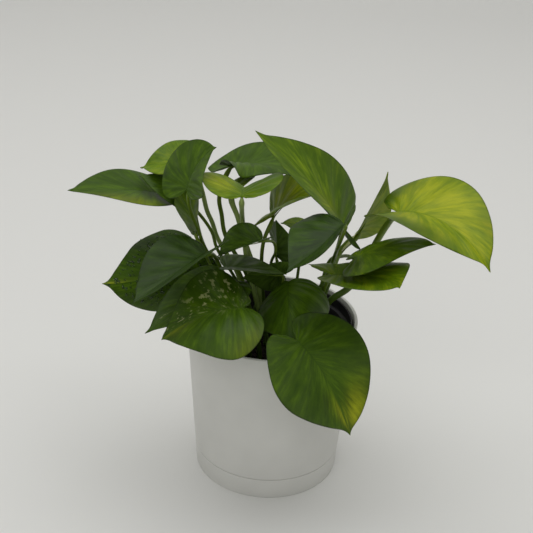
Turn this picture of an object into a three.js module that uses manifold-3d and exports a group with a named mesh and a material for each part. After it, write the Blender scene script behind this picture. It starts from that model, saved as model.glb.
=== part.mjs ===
// Potted pothos: a young Epipremnum aureum in a black nursery pot, which stands
// loose in a white plastic planter with a flush saucer.
// Millimetres, +Z up, origin at the centre of the flat underside of the saucer,
// -Y is the front.

import * as THREE from 'three';
import { mergeVertices } from 'three/addons/utils/BufferGeometryUtils.js';
import Module from 'manifold-3d';

// ---- driving dimensions -------------------------------------------------------------

const SEAT_GAP = 0.3;             // play between pieces that rest on each other
const ROUND_SEGMENTS = 40;        // facets round the pots

const PLANTER_HEIGHT = 130;       // table to the planter's rim
const PLANTER_TOP_RADIUS = 65;    // outside, at the rim
const PLANTER_FOOT_RADIUS = 55.7; // outside, where the saucer meets the table
const PLANTER_WALL = 2.5;
const PLANTER_FLOOR = 3;
const RIM_ROUND = 0.8;            // rounding of the planter's rim

const SEAM_HEIGHT = 17.2;         // top of the saucer's wall
const SEAM_GAP = 0.5;             // the fine joint line that shows all round
const SAUCER_FLOOR = 3;
const SAUCER_WALL = 2.2;
const SAUCER_PLAY = 0.5;          // saucer wall to the planter's foot

const NURSERY_BELOW_RIM = 2.4;    // nursery rim below the planter's rim
const NURSERY_PLAY = 1.3;         // nursery lip to the planter's wall
const NURSERY_WALL = 1.2;
const NURSERY_FOOT_PLAY = 7.7;    // nursery foot to the planter's wall, all round
const LIP_WIDTH = 3.2;            // how far the rolled lip stands out from the wall
const LIP_HEIGHT = 9;
const DRAIN_RADIUS = 7;           // drain hole in the middle of both pot floors

const SOIL_BELOW_LIP = 30;
const SOIL_CROWN = 2;             // the soil is a little higher in the middle
const SOIL_PLAY = 0.3;            // soil to pot wall and floor

const ROOT_DEPTH = 14;            // how deep a stalk stands in the soil
const COLLAR = 4;                 // straight length of a stalk above the soil
const HOLE_PLAY = 0.4;            // stalk to soil, all round
const STALK_SIDES = 6;
const STALK_STEP = 13;            // length of one straight stretch of a stalk

const BLADE_THICKNESS = 1;
const BLADE_ROWS = 8;             // ribs from the base notch to the tip
const HALF_COLUMNS = 2;           // strips in each half of a blade
const BACK_LOBE = 0.2;            // furthest a back lobe can reach, in blade lengths
const FRAME_STEP = 0.1;           // spacing of the midrib's stations, in blade lengths

// One half of a flat blade: [along the midrib in lengths, across in widths], from the
// notch at the stalk, round the back lobe and the belly, to the drip tip.
const MARGIN = [
  [-0.10, 0.06],
  [-0.17, 0.20],
  [-0.13, 0.37],
  [0.02, 0.475],
  [0.22, 0.50],
  [0.45, 0.43],
  [0.68, 0.28],
  [0.86, 0.13],
  [0.95, 0.045],
  [1, 0],
];
const RIB_LEAN = 2.6;             // how strongly the ribs lean towards the tip

// ---- the leaves ---------------------------------------------------------------------
// base    where the stalk meets the blade
// size    length of the midrib, full width, and how far the back lobes reach (1 = full)
// aim     heading of the midrib (0 = +X, 90 = +Y), its rise above level, and the
//         blade's roll about it
// bend    how far the midrib arches down, sweeps sideways and twists, base to tip
// fold    lift of the left and the right half at the midrib
// curl    further lift of the left and the right half, reached at the margin
// stalk   radius, the place in the soil, and the points on the way to the blade
// Lengths in mm, angles in degrees. Heights are above the table for a planter that is
// LEAF_TABLE_RIM high, and the leaves rise and sink with the planter's rim.
const LEAF_TABLE_RIM = 130;

const LEAVES = {
  front_right: {
    base: [18, -72, 153], size: [78, 96, 1], aim: [-30, -31, -6], bend: [44, -6, 47],
    fold: [4, -1], curl: [2, 7],
    stalk: [1.8, [14, -36], [14, -40, 123]],
  },
  front_left: {
    base: [-21, -64, 173], size: [62, 86, 1], aim: [-165, 4, 7], bend: [53, -7, -26],
    fold: [3, -5], curl: [-64, 37],
    stalk: [1.8, [-8, -27], [-10, -31, 129], [-15, -44, 151]],
  },
  front_centre: {
    base: [11, -7, 164], size: [55, 81, 0.8], aim: [-96, -6, 25], bend: [52, 11, -16],
    fold: [-14, -14], curl: [-85, -32],
    stalk: [1.6, [6, 3], [7, 1, 128], [9, -2, 146]],
  },
  left_under: {
    base: [-35, -17, 167], size: [74, 53, 0.6], aim: [-131, -6, -10], bend: [16, -9, 1],
    fold: [12, 4], curl: [-4, -10],
    stalk: [1.5, [-16, -10], [-19, -11, 126], [-26, -14, 147]],
  },
  left_upper: {
    base: [-49, -39, 201], size: [70, 65, 0.6], aim: [-128, -7, 13], bend: [5, -3, -5],
    fold: [21, 17], curl: [14, 9],
    stalk: [1.6, [-24, 7], [-26, 8, 117], [-42, 6, 169]],
  },
  left_wet: {
    base: [-58, 15, 174], size: [87, 77, 0.5], aim: [-129, -15, -34], bend: [-14, -32, -22],
    fold: [-13, -13], curl: [-66, -23],
    stalk: [1.6, [-24, 20], [-31, 23, 131], [-43, 23, 149]],
  },
  far_left: {
    base: [-89, 26, 216], size: [71, 53, 1], aim: [-153, 16, 13], bend: [9, 6, -8],
    fold: [-10, 28], curl: [-3, -8],
    stalk: [1.3, [-12, 24], [-26, 34, 134], [-45, 28, 171], [-49, 27, 185], [-60, 27, 201],
      [-66, 24, 207]],
  },
  upper_left_dark: {
    base: [-66, 18, 217], size: [40, 32, 1], aim: [-159, 44, -28], bend: [54, -15, -11],
    fold: [-4, -2], curl: [-4, -10],
    stalk: [1.3, [-28, 27], [-39, 29, 143], [-55, 30, 172], [-60, 30, 189], [-63, 28, 206]],
  },
  upper_left_lime: {
    base: [-65, 29, 244], size: [39, 51, 1], aim: [-169, -10, -7], bend: [15, -22, -11],
    fold: [14, 9], curl: [10, -7],
    stalk: [1.8, [-20, 27], [-27, 29, 145], [-45, 32, 178], [-49, 31, 191], [-53, 30, 201],
      [-57, 29, 218]],
  },
  upper_left_tall: {
    base: [-64, -24, 242], size: [39, 66, 1], aim: [64, 67, -44], bend: [31, -45, -8],
    fold: [23, -2], curl: [-8, -4],
    stalk: [1.3, [-21, 6], [-12, 27, 143], [-54, 8, 179], [-55, 1, 191], [-57, -6, 203],
      [-61, -10, 216], [-63, -17, 229]],
  },
  upper_left_narrow: {
    base: [-59, -3, 200], size: [38, 51, 0.6], aim: [121, 53, 45], bend: [-7, -11, -38],
    fold: [3, -6], curl: [15, -45],
    stalk: [1.2, [-31, 2], [-36, 3, 142], [-48, 2, 170]],
  },
  top_boat: {
    base: [-25, -37, 245], size: [34, 62, 1.2], aim: [88, 12, -4], bend: [60, -1, 5],
    fold: [27, 28], curl: [-6, -8],
    stalk: [1.8, [-4, 7], [-13, 8, 139], [-21, 10, 170], [-23, 6, 186], [-25, -2, 209]],
  },
  top_small_lime: {
    base: [-33, 7, 230], size: [28, 29, 0.8], aim: [61, 17, -26], bend: [20, -2, 9],
    fold: [6, 10], curl: [-29, -7],
    stalk: [2.0, [-10, 12], [-12, 13, 149], [-25, 12, 191], [-29, 11, 206], [-34, 9, 221]],
  },
  top_centre: {
    base: [-36, 32, 238], size: [52, 73, 1.6], aim: [10, 8, -55], bend: [50, -44, 38],
    fold: [17, -13], curl: [64, -44],
    stalk: [1.7, [-8, 28], [-21, 28, 148], [-39, 30, 182], [-42, 31, 198], [-44, 30, 213]],
  },
  top_large: {
    base: [49, -6, 210], size: [96, 81, 0.3], aim: [-169, 58, -10], bend: [24, -10, -13],
    fold: [-2, 15], curl: [37, 10],
    stalk: [1.6, [25, -1], [33, 4, 145], [43, 5, 172], [45, 3, 185], [47, -3, 200]],
  },
  centre_back: {
    base: [-4, 23, 202], size: [47, 64, 0.3], aim: [-19, 59, 0], bend: [47, -10, 5],
    fold: [24, 18], curl: [6, -17],
    stalk: [1.5, [-3, 20], [-9, 19, 145], [-10, 16, 178], [-8, 15, 190], [-5, 17, 197]],
  },
  centre_right: {
    base: [45, -59, 238], size: [53, 67, 0.4], aim: [-132, -24, 16], bend: [-6, -9, -28],
    fold: [29, 23], curl: [27, -36],
    stalk: [1.4, [22, -7], [29, -1, 142], [41, 1, 171], [43, -2, 182], [45, -24, 205]],
  },
  centre_small: {
    base: [-10, -24, 206], size: [35, 44, 0.6], aim: [-151, -3, 38], bend: [11, -2, -4],
    fold: [-10, 56], curl: [8, -11],
    stalk: [1.2, [5, 21], [0, 22, 135], [-3, 17, 165], [0, 6, 181], [-2, -9, 197]],
  },
  centre_olive: {
    base: [2, 24, 168], size: [32, 45, 0.6], aim: [-173, 86, 19], bend: [6, 7, 20],
    fold: [20, 17], curl: [-6, -6],
    stalk: [1.3, [9, 24], [8, 24, 135], [5, 24, 152]],
  },
  centre_lime: {
    base: [22, 27, 192], size: [19, 21, 1], aim: [-180, 17, -6], bend: [14, 3, -2],
    fold: [10, 11], curl: [-7, -8],
    stalk: [1.2, [16, 22], [17, 23, 139], [19, 25, 166]],
  },
  centre_flat: {
    base: [-36, -26, 184], size: [44, 50, 0.5], aim: [2, -1, 0], bend: [10, 0, 0],
    fold: [-3, 18], curl: [-5, 10],
    stalk: [1.5, [-15, 4], [-19, 6, 138], [-27, 2, 166]],
  },
  centre_shaded: {
    base: [6, 9, 161], size: [32, 37, 1], aim: [-164, 10, 54], bend: [16, -10, -1],
    fold: [7, -7], curl: [-8, -22],
    stalk: [1.2, [5, 12], [5, 11, 132]],
  },
  right_upright: {
    base: [59, 14, 195], size: [54, 51, 1], aim: [-21, 58, -8], bend: [-27, 14, -2],
    fold: [-5, -6], curl: [-38, -8],
    stalk: [2.4, [28, 10], [34, 14, 128], [38, 17, 138], [41, 19, 148], [44, 20, 161],
      [48, 19, 176], [54, 17, 186]],
  },
  right_yellow: {
    base: [85, -13, 228], size: [86, 82, 1], aim: [-29, 18, -7], bend: [57, -25, 15],
    fold: [27, 4], curl: [-6, 12],
    stalk: [2.6, [36, 6], [37, 7, 123], [43, 7, 141], [57, 8, 153], [68, 11, 173], [75, 11, 192],
      [83, 0, 216]],
  },
  right_level: {
    base: [57, -28, 197], size: [58, 60, 1], aim: [-5, 34, -3], bend: [29, -10, 2],
    fold: [-2, -5], curl: [-23, 5],
    stalk: [1.5, [31, 13], [42, 37, 159], [51, 24, 171], [57, -4, 185]],
  },
  right_low: {
    base: [42, -34, 186], size: [69, 70, 1.3], aim: [-5, 5, 17], bend: [-53, -64, 17],
    fold: [0, 25], curl: [-73, 22],
    stalk: [1.5, [30, -4], [33, 0, 132], [38, -1, 156]],
  },
};

// ---- materials ----------------------------------------------------------------------

const WHITE_PLASTIC = { color: 0xe9e8e2, roughness: 0.4, metalness: 0 };
const BLACK_PLASTIC = { color: 0x0d0e10, roughness: 0.5, metalness: 0 };
const PEAT = { color: 0x1d1510, roughness: 1, metalness: 0 };
const STALK_GREEN = { color: 0x6f8a34, roughness: 0.5, metalness: 0 };
const LEAF_GREEN = { color: 0x44661c, roughness: 0.35, metalness: 0 };
const LEAF_LIME = { color: 0x92a321, roughness: 0.35, metalness: 0 };
const LIME_LEAVES = ['upper_left_lime', 'top_boat', 'top_small_lime', 'centre_back',
  'centre_lime', 'right_upright', 'right_yellow'];

// ---- small helpers ------------------------------------------------------------------

const degrees = THREE.MathUtils.degToRad;
const wasm = await Module();
wasm.setup();
const plant = new THREE.Group();

function addPiece(name, geometry, look) {
  const mesh = new THREE.Mesh(geometry, new THREE.MeshStandardMaterial(look));
  mesh.name = name;
  plant.add(mesh);
}

function lathe(profile) {
  const points = profile.map(([radius, height]) => new THREE.Vector2(radius, height));
  const geometry = new THREE.LatheGeometry(points, ROUND_SEGMENTS);
  geometry.rotateX(Math.PI / 2);
  return geometry;
}

function solidFrom(geometry) {
  const bare = geometry.clone();
  bare.deleteAttribute('normal');
  bare.deleteAttribute('uv');
  const merged = mergeVertices(bare, 1e-3);
  const mesh = new wasm.Mesh({
    numProp: 3,
    vertProperties: merged.attributes.position.array,
    triVerts: new Uint32Array(merged.index.array),
  });
  return new wasm.Manifold(mesh);
}

function geometryFrom(solid) {
  const mesh = solid.getMesh();
  const geometry = new THREE.BufferGeometry();
  geometry.setAttribute('position', new THREE.BufferAttribute(mesh.vertProperties, 3));
  geometry.setIndex(new THREE.BufferAttribute(mesh.triVerts, 1));
  return geometry;
}

// ---- pots and soil ------------------------------------------------------------------

// Outside radius of the planter and its saucer, which share one straight taper.
function outsideRadius(height) {
  const share = height / PLANTER_HEIGHT;
  return PLANTER_FOOT_RADIUS + (PLANTER_TOP_RADIUS - PLANTER_FOOT_RADIUS) * share;
}

const planterFootZ = SAUCER_FLOOR + SEAT_GAP;
const planterFootRadius = outsideRadius(SAUCER_FLOOR) - SAUCER_WALL - SAUCER_PLAY;
const planterShoulderZ = SEAM_HEIGHT + SEAM_GAP;
const nurseryFootZ = planterFootZ + PLANTER_FLOOR + SEAT_GAP;
const nurseryRimZ = PLANTER_HEIGHT - NURSERY_BELOW_RIM;
const nurseryFootRadius = planterFootRadius - PLANTER_WALL - NURSERY_FOOT_PLAY;
const lipRadius = outsideRadius(nurseryRimZ) - PLANTER_WALL - NURSERY_PLAY;
const nurseryNeckRadius = lipRadius - LIP_WIDTH;
const lipZ = nurseryRimZ - LIP_HEIGHT;
const soilZ = nurseryRimZ - SOIL_BELOW_LIP;
const plantLift = PLANTER_HEIGHT - LEAF_TABLE_RIM;

function saucer() {
  return lathe([
    [0, 0],
    [PLANTER_FOOT_RADIUS, 0],
    [outsideRadius(SEAM_HEIGHT), SEAM_HEIGHT],
    [outsideRadius(SEAM_HEIGHT) - SAUCER_WALL, SEAM_HEIGHT],
    [outsideRadius(SAUCER_FLOOR) - SAUCER_WALL, SAUCER_FLOOR],
    [0, SAUCER_FLOOR],
  ]);
}

function planter() {
  const shoulder = outsideRadius(planterShoulderZ);
  const insideShoulderZ = planterShoulderZ + PLANTER_WALL;
  const floorZ = planterFootZ + PLANTER_FLOOR;
  return lathe([
    [DRAIN_RADIUS, planterFootZ],
    [planterFootRadius, planterFootZ],
    [planterFootRadius, planterShoulderZ],
    [shoulder, planterShoulderZ],
    [PLANTER_TOP_RADIUS, PLANTER_HEIGHT - RIM_ROUND],
    [PLANTER_TOP_RADIUS - RIM_ROUND, PLANTER_HEIGHT],
    [PLANTER_TOP_RADIUS - PLANTER_WALL + RIM_ROUND, PLANTER_HEIGHT],
    [PLANTER_TOP_RADIUS - PLANTER_WALL, PLANTER_HEIGHT - RIM_ROUND],
    [outsideRadius(insideShoulderZ) - PLANTER_WALL, insideShoulderZ],
    [planterFootRadius - PLANTER_WALL, insideShoulderZ - PLANTER_WALL],
    [planterFootRadius - PLANTER_WALL, floorZ],
    [DRAIN_RADIUS, floorZ],
    [DRAIN_RADIUS, planterFootZ],
  ]);
}

// Inside radius of the nursery pot between its floor and its lip.
function nurseryInside(height) {
  const share = (height - nurseryFootZ) / (lipZ - nurseryFootZ);
  const outside = nurseryFootRadius + (nurseryNeckRadius - nurseryFootRadius) * share;
  return outside - NURSERY_WALL;
}

function nurseryPot() {
  const floorZ = nurseryFootZ + NURSERY_WALL;
  return lathe([
    [DRAIN_RADIUS, nurseryFootZ],
    [nurseryFootRadius, nurseryFootZ],
    [nurseryNeckRadius, lipZ],
    [lipRadius, lipZ],
    [lipRadius, nurseryRimZ],
    [lipRadius - NURSERY_WALL, nurseryRimZ],
    [lipRadius - NURSERY_WALL, lipZ + NURSERY_WALL],
    [nurseryInside(lipZ), lipZ + NURSERY_WALL],
    [nurseryInside(floorZ), floorZ],
    [DRAIN_RADIUS, floorZ],
    [DRAIN_RADIUS, nurseryFootZ],
  ]);
}

function soil() {
  const bottomZ = nurseryFootZ + NURSERY_WALL + SOIL_PLAY;
  const plain = lathe([
    [0, bottomZ],
    [nurseryInside(bottomZ) - SOIL_PLAY, bottomZ],
    [nurseryInside(soilZ) - SOIL_PLAY, soilZ],
    [nurseryInside(soilZ) / 2, soilZ + SOIL_CROWN],
    [0, soilZ + SOIL_CROWN],
  ]);
  let solid = solidFrom(plain);
  for (const leaf of Object.values(LEAVES)) {
    const [radius, [x, y]] = leaf.stalk;
    const depth = ROOT_DEPTH + HOLE_PLAY;
    const hole = new THREE.CylinderGeometry(
      radius + HOLE_PLAY, radius + HOLE_PLAY, depth + COLLAR, STALK_SIDES * 2);
    hole.rotateX(Math.PI / 2);
    hole.translate(x, y, soilZ + (COLLAR - depth) / 2);
    solid = solid.subtract(solidFrom(hole));
  }
  return geometryFrom(solid);
}

// ---- blades -------------------------------------------------------------------------

// A place of the leaf table, raised or sunk with the rim.
function lifted([x, y, z]) {
  return new THREE.Vector3(x, y, z + plantLift);
}

// The midrib as a row of stations from the back lobes to the tip. Each holds its place,
// the direction along the midrib, and the blade's left and up directions there.
function midribStations(leaf) {
  const [length] = leaf.size;
  const [heading, rise, roll] = leaf.aim.map(degrees);
  const [arch, sweep, twist] = leaf.bend.map(degrees);
  const along = new THREE.Vector3(
    Math.cos(rise) * Math.cos(heading), Math.cos(rise) * Math.sin(heading), Math.sin(rise));
  const left = new THREE.Vector3(-Math.sin(heading), Math.cos(heading), 0);
  const up = along.clone().cross(left);
  left.applyAxisAngle(along, roll);
  up.applyAxisAngle(along, roll);
  const place = lifted(leaf.base);
  const base = { place, along, left, up, share: 0 };

  function next(from, step) {
    const to = {
      place: from.place.clone(),
      along: from.along.clone(),
      left: from.left.clone(),
      up: from.up.clone(),
      share: from.share + step,
    };
    for (const half of [0, 1]) {
      to.along.applyAxisAngle(to.left, arch * step / 2);
      to.up.applyAxisAngle(to.left, arch * step / 2);
      to.along.applyAxisAngle(to.up, sweep * step / 2);
      to.left.applyAxisAngle(to.up, sweep * step / 2);
      if (half === 0) to.place.addScaledVector(to.along, step * length);
    }
    to.left.applyAxisAngle(to.along, twist * step);
    to.up.applyAxisAngle(to.along, twist * step);
    return to;
  }

  const stations = [base];
  for (let i = 0; i < Math.round(1 / FRAME_STEP); i += 1) {
    stations.push(next(stations.at(-1), FRAME_STEP));
  }
  for (let i = 0; i < Math.round(BACK_LOBE / FRAME_STEP); i += 1) {
    stations.unshift(next(stations[0], -FRAME_STEP));
  }
  return stations;
}

// The place and the upward normal of a blade at a point of its flat shape.
function bladePoint(leaf, stations, share, across) {
  const width = leaf.size[1];
  const step = (share + BACK_LOBE) / FRAME_STEP;
  const index = Math.min(Math.max(Math.floor(step), 0), stations.length - 2);
  const blend = step - index;
  const mix = (key) => stations[index][key].clone().lerp(stations[index + 1][key], blend);
  const side = across < 0 ? 1 : 0;
  const outward = mix('left').multiplyScalar(across < 0 ? -1 : 1);
  const up = mix('up');
  const fold = degrees(leaf.fold[side]);
  const curl = degrees(leaf.curl[side]) / (width / 2);
  const distance = Math.abs(across) * width;
  const angle = fold + curl * distance;
  const reach = (Math.sin(angle) - Math.sin(fold)) / curl;
  const lift = (Math.cos(fold) - Math.cos(angle)) / curl;
  const place = mix('place').addScaledVector(outward, reach).addScaledVector(up, lift);
  const normal = up;
  if (across !== 0) {
    normal.multiplyScalar(Math.cos(angle)).addScaledVector(outward, -Math.sin(angle));
  }
  return { place, normal };
}

const marginCurve = new THREE.SplineCurve(MARGIN.map(([x, y]) => new THREE.Vector2(x, y)));

function blade(leaf) {
  const stations = midribStations(leaf);
  const columns = 2 * HALF_COLUMNS + 1;
  const positions = [];
  const faces = [];

  function addPoint(share, across) {
    const { place, normal } = bladePoint(leaf, stations, share, across);
    for (const side of [0.5, -0.5]) {
      const vertex = place.clone().addScaledVector(normal, side * BLADE_THICKNESS);
      positions.push(vertex.x, vertex.y, vertex.z);
    }
  }

  for (let row = 0; row < BLADE_ROWS; row += 1) {
    const t = row / BLADE_ROWS;
    const edge = marginCurve.getPoint(t);
    const edgeShare = edge.x < 0 ? edge.x * leaf.size[2] : edge.x;
    const ribStart = t ** RIB_LEAN;
    for (let column = -HALF_COLUMNS; column <= HALF_COLUMNS; column += 1) {
      const reach = Math.abs(column) / HALF_COLUMNS;
      const across = -Math.sign(column) * edge.y * reach;
      addPoint(ribStart + (edgeShare - ribStart) * reach, across);
    }
  }
  const tip = bladePoint(leaf, stations, 1, 0).place;
  const tipIndex = positions.length / 3;
  positions.push(tip.x, tip.y, tip.z);

  const top = (row, column) => 2 * (row * columns + column);
  const under = (row, column) => top(row, column) + 1;
  const lastRow = BLADE_ROWS - 1;
  for (let column = 0; column < columns - 1; column += 1) {
    for (let row = 0; row < lastRow; row += 1) {
      faces.push(top(row, column), top(row, column + 1), top(row + 1, column + 1));
      faces.push(top(row, column), top(row + 1, column + 1), top(row + 1, column));
      faces.push(under(row, column), under(row + 1, column + 1), under(row, column + 1));
      faces.push(under(row, column), under(row + 1, column), under(row + 1, column + 1));
    }
    faces.push(top(lastRow, column), top(lastRow, column + 1), tipIndex);
    faces.push(under(lastRow, column), tipIndex, under(lastRow, column + 1));
    faces.push(top(0, column), under(0, column), top(0, column + 1));
    faces.push(top(0, column + 1), under(0, column), under(0, column + 1));
  }
  const right = columns - 1;
  for (let row = 0; row < lastRow; row += 1) {
    faces.push(top(row, 0), top(row + 1, 0), under(row, 0));
    faces.push(under(row, 0), top(row + 1, 0), under(row + 1, 0));
    faces.push(top(row, right), under(row, right), top(row + 1, right));
    faces.push(under(row, right), under(row + 1, right), top(row + 1, right));
  }
  faces.push(top(lastRow, 0), tipIndex, under(lastRow, 0));
  faces.push(top(lastRow, right), under(lastRow, right), tipIndex);

  const geometry = new THREE.BufferGeometry();
  geometry.setAttribute('position', new THREE.Float32BufferAttribute(positions, 3));
  geometry.setIndex(faces);
  return geometry;
}

// ---- stalks -------------------------------------------------------------------------

function polygon(radius, sides) {
  const corners = [];
  for (let i = 0; i < sides; i += 1) {
    const angle = (2 * Math.PI * i) / sides;
    corners.push(new THREE.Vector2(radius * Math.cos(angle), radius * Math.sin(angle)));
  }
  return new THREE.Shape(corners);
}

// From its root end straight up through the soil, then in one smooth sweep to a place
// just under the notch of its blade.
function stalk(leaf) {
  const [radius, [x, y], ...onTheWay] = leaf.stalk;
  const root = new THREE.Vector3(x, y, soilZ - ROOT_DEPTH);
  const collar = new THREE.Vector3(x, y, soilZ + COLLAR);
  const { up } = midribStations(leaf).find((station) => station.share === 0);
  const drop = BLADE_THICKNESS / 2 + radius + SEAT_GAP;
  const end = lifted(leaf.base).addScaledVector(up, -drop);
  const bends = onTheWay.map(lifted);
  const justAbove = collar.clone().add(new THREE.Vector3(0, 0, COLLAR));
  const route = new THREE.CurvePath();
  route.add(new THREE.LineCurve3(root, collar));
  route.add(new THREE.CatmullRomCurve3([collar, justAbove, ...bends, end]));
  return new THREE.ExtrudeGeometry(polygon(radius, STALK_SIDES), {
    steps: Math.ceil(route.getLength() / STALK_STEP),
    extrudePath: route,
    bevelEnabled: false,
  });
}

// ---- the whole plant ----------------------------------------------------------------

addPiece('saucer', saucer(), WHITE_PLASTIC);
addPiece('planter', planter(), WHITE_PLASTIC);
addPiece('nursery_pot', nurseryPot(), BLACK_PLASTIC);
addPiece('soil', soil(), PEAT);
for (const [name, leaf] of Object.entries(LEAVES)) {
  const look = LIME_LEAVES.includes(name) ? LEAF_LIME : LEAF_GREEN;
  addPiece(`leaf_${name}`, blade(leaf), look);
  addPiece(`stalk_${name}`, stalk(leaf), STALK_GREEN);
}

export default plant;
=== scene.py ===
# %% [markdown]
# # A potted pothos
# A young pothos stands in a thin black nursery pot, and that pot stands loose in a white
# plastic planter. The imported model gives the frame: one node for each pot, the soil, and
# every leaf and stalk. This script keeps their places and gives each its fine surface.

# %% Load the frame
import math

import bmesh
import bpy
import numpy as np
from mathutils import Matrix, Vector


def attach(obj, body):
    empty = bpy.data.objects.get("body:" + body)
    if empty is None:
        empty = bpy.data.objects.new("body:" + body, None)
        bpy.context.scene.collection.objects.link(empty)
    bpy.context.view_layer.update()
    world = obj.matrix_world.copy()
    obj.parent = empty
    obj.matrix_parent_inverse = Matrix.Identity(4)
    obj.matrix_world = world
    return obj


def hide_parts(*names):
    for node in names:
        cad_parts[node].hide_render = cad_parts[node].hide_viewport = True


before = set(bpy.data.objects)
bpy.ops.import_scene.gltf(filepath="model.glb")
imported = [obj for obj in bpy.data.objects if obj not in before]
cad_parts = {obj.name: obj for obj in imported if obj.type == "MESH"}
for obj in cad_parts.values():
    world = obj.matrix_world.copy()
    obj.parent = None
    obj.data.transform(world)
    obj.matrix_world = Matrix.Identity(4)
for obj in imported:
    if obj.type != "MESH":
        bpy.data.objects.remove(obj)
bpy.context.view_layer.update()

# %% [markdown]
# ## Small helpers
# Lengths are easier to think of in millimetres, while Blender works in metres, so one
# constant turns the first into the second. Colours are written as the hex values that a
# screen shows, and one function turns them linear. One more function adds a shader or
# geometry node with its settings, its links and, for a colour ramp, its stops, so a
# material reads as a short list.

# %% Units, colours and nodes
MM = 0.001  # one millimetre in metres


def colour(hex_value):
    """An sRGB hex colour as linear RGBA."""
    channels = [int(hex_value[i:i + 2], 16) / 255 for i in (1, 3, 5)]
    linear = [c / 12.92 if c <= 0.04045 else ((c + 0.055) / 1.055) ** 2.4 for c in channels]
    return (*linear, 1.0)


def add_node(tree, kind, inputs=None, stops=(), **settings):
    """Adds one node. An input is a value, or another node's output to link from.

    A colour ramp takes its stops too, each a position and a hex colour."""
    node = tree.nodes.new(kind)
    for name, value in settings.items():
        setattr(node, name, value)
    for name, value in (inputs or {}).items():
        if isinstance(value, bpy.types.NodeSocket):
            tree.links.new(value, node.inputs[name])
        else:
            node.inputs[name].default_value = value
    if stops:
        elements = node.color_ramp.elements
        while len(elements) < len(stops):
            elements.new(0.5)
        for element, (position, hex_value) in zip(elements, stops):
            element.position = position
            element.color = colour(hex_value)
    return node


def start_material(name):
    """An empty material with a Principled shader, and its tree."""
    material = bpy.data.materials.new(name)
    material.use_nodes = True
    return material, material.node_tree, material.node_tree.nodes["Principled BSDF"]


print("mid grey is", round(colour("#808080")[0], 3), "in linear light")

# %% [markdown]
# ## The camera
# The plant is seen from in front and a little above, with a long lens, which keeps the
# pot's sides nearly parallel. The camera is built from its place and three turns, so that
# each number means something: how far it looks down, how far it is turned aside, and how
# far it is tipped.

# %% Camera
CAMERA_PLACE = Vector((0, -779, 586)) * MM
CAMERA_DOWN = math.radians(28.0)
CAMERA_ASIDE = math.radians(-0.45)
CAMERA_TIP = math.radians(2.54)
LENS_MM = 80.17
SENSOR_MM = 36


def camera_matrix():
    """The camera's axes in the frame: right, up, and away from what it looks at."""
    ahead = Vector((
        math.sin(CAMERA_ASIDE) * math.cos(CAMERA_DOWN),
        math.cos(CAMERA_ASIDE) * math.cos(CAMERA_DOWN),
        -math.sin(CAMERA_DOWN),
    ))
    level_right = Vector((math.cos(CAMERA_ASIDE), -math.sin(CAMERA_ASIDE), 0))
    level_up = level_right.cross(ahead)
    right = math.cos(CAMERA_TIP) * level_right + math.sin(CAMERA_TIP) * level_up
    up = -math.sin(CAMERA_TIP) * level_right + math.cos(CAMERA_TIP) * level_up
    turn = Matrix((right, up, -ahead)).transposed()
    return Matrix.Translation(CAMERA_PLACE) @ turn.to_4x4()


# Standard shows colours as they are lit. A filmic curve would grey the greens.
bpy.context.scene.view_settings.view_transform = "Standard"
camera = bpy.data.objects.new("camera", bpy.data.cameras.new("camera"))
camera.data.sensor_width = SENSOR_MM
camera.data.lens = LENS_MM
camera.matrix_world = camera_matrix()
bpy.context.collection.objects.link(camera)
bpy.context.scene.camera = camera
print("lens", round(camera.data.lens, 1), "mm")

# %% [markdown]
# ## Floor
# The plant stands on a pale sheet that sweeps up behind it with no corner. It could be a
# bent plane with a modifier, but a profile of a few points, drawn out sideways, gives the
# same sheet in fewer steps.

# %% Backdrop sheet
SHEET_WIDTH = 6.0
SHEET_FRONT = -3.0
SHEET_BACK = 2.2
SHEET_BEND = 0.9
BEND_STEPS = 12
SHEET_TOP = 3.2


def backdrop_profile():
    """(y, z) points of the sheet from front to top."""
    points = [(SHEET_FRONT, 0.0), (SHEET_BACK - SHEET_BEND, 0.0)]
    for i in range(1, BEND_STEPS + 1):
        angle = math.radians(90 * i / BEND_STEPS)
        points.append((SHEET_BACK - SHEET_BEND + SHEET_BEND * math.sin(angle),
                       SHEET_BEND - SHEET_BEND * math.cos(angle)))
    return points + [(SHEET_BACK, SHEET_TOP)]


def make_backdrop():
    mesh = bpy.data.meshes.new("backdrop")
    points = []
    faces = []
    for y, z in backdrop_profile():
        points += [(-SHEET_WIDTH / 2, y, z), (SHEET_WIDTH / 2, y, z)]
    for i in range(len(points) // 2 - 1):
        faces.append((2 * i, 2 * i + 1, 2 * i + 3, 2 * i + 2))
    mesh.from_pydata(points, [], faces)
    mesh.polygons.foreach_set("use_smooth", [True] * len(faces))
    sheet = bpy.data.objects.new("backdrop", mesh)
    bpy.context.collection.objects.link(sheet)
    return sheet


backdrop = make_backdrop()
paper, tree, shader = start_material("matt_studio_paper")
# Coated paper is even and nearly without gloss.
shader.inputs["Base Color"].default_value = colour("#e2e2df")
shader.inputs["Roughness"].default_value = 0.9
backdrop.data.materials.append(paper)
print("backdrop faces", len(backdrop.data.polygons))

# %% [markdown]
# ## Light
# The light is broad and soft: a bright room all round, a large panel above and a little
# behind that makes the leaves gleam and keeps the planter's front darker than the floor,
# and a weak one in front that opens the shadows.

# %% Soft light
world = bpy.data.worlds.new("soft_room")
world.use_nodes = True
bpy.context.scene.world = world
world.node_tree.nodes["Background"].inputs["Color"].default_value = colour("#f6f5f2")
world.node_tree.nodes["Background"].inputs["Strength"].default_value = 0.40
LIGHT_TARGET = Vector((0, 0, 0.1))


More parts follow.
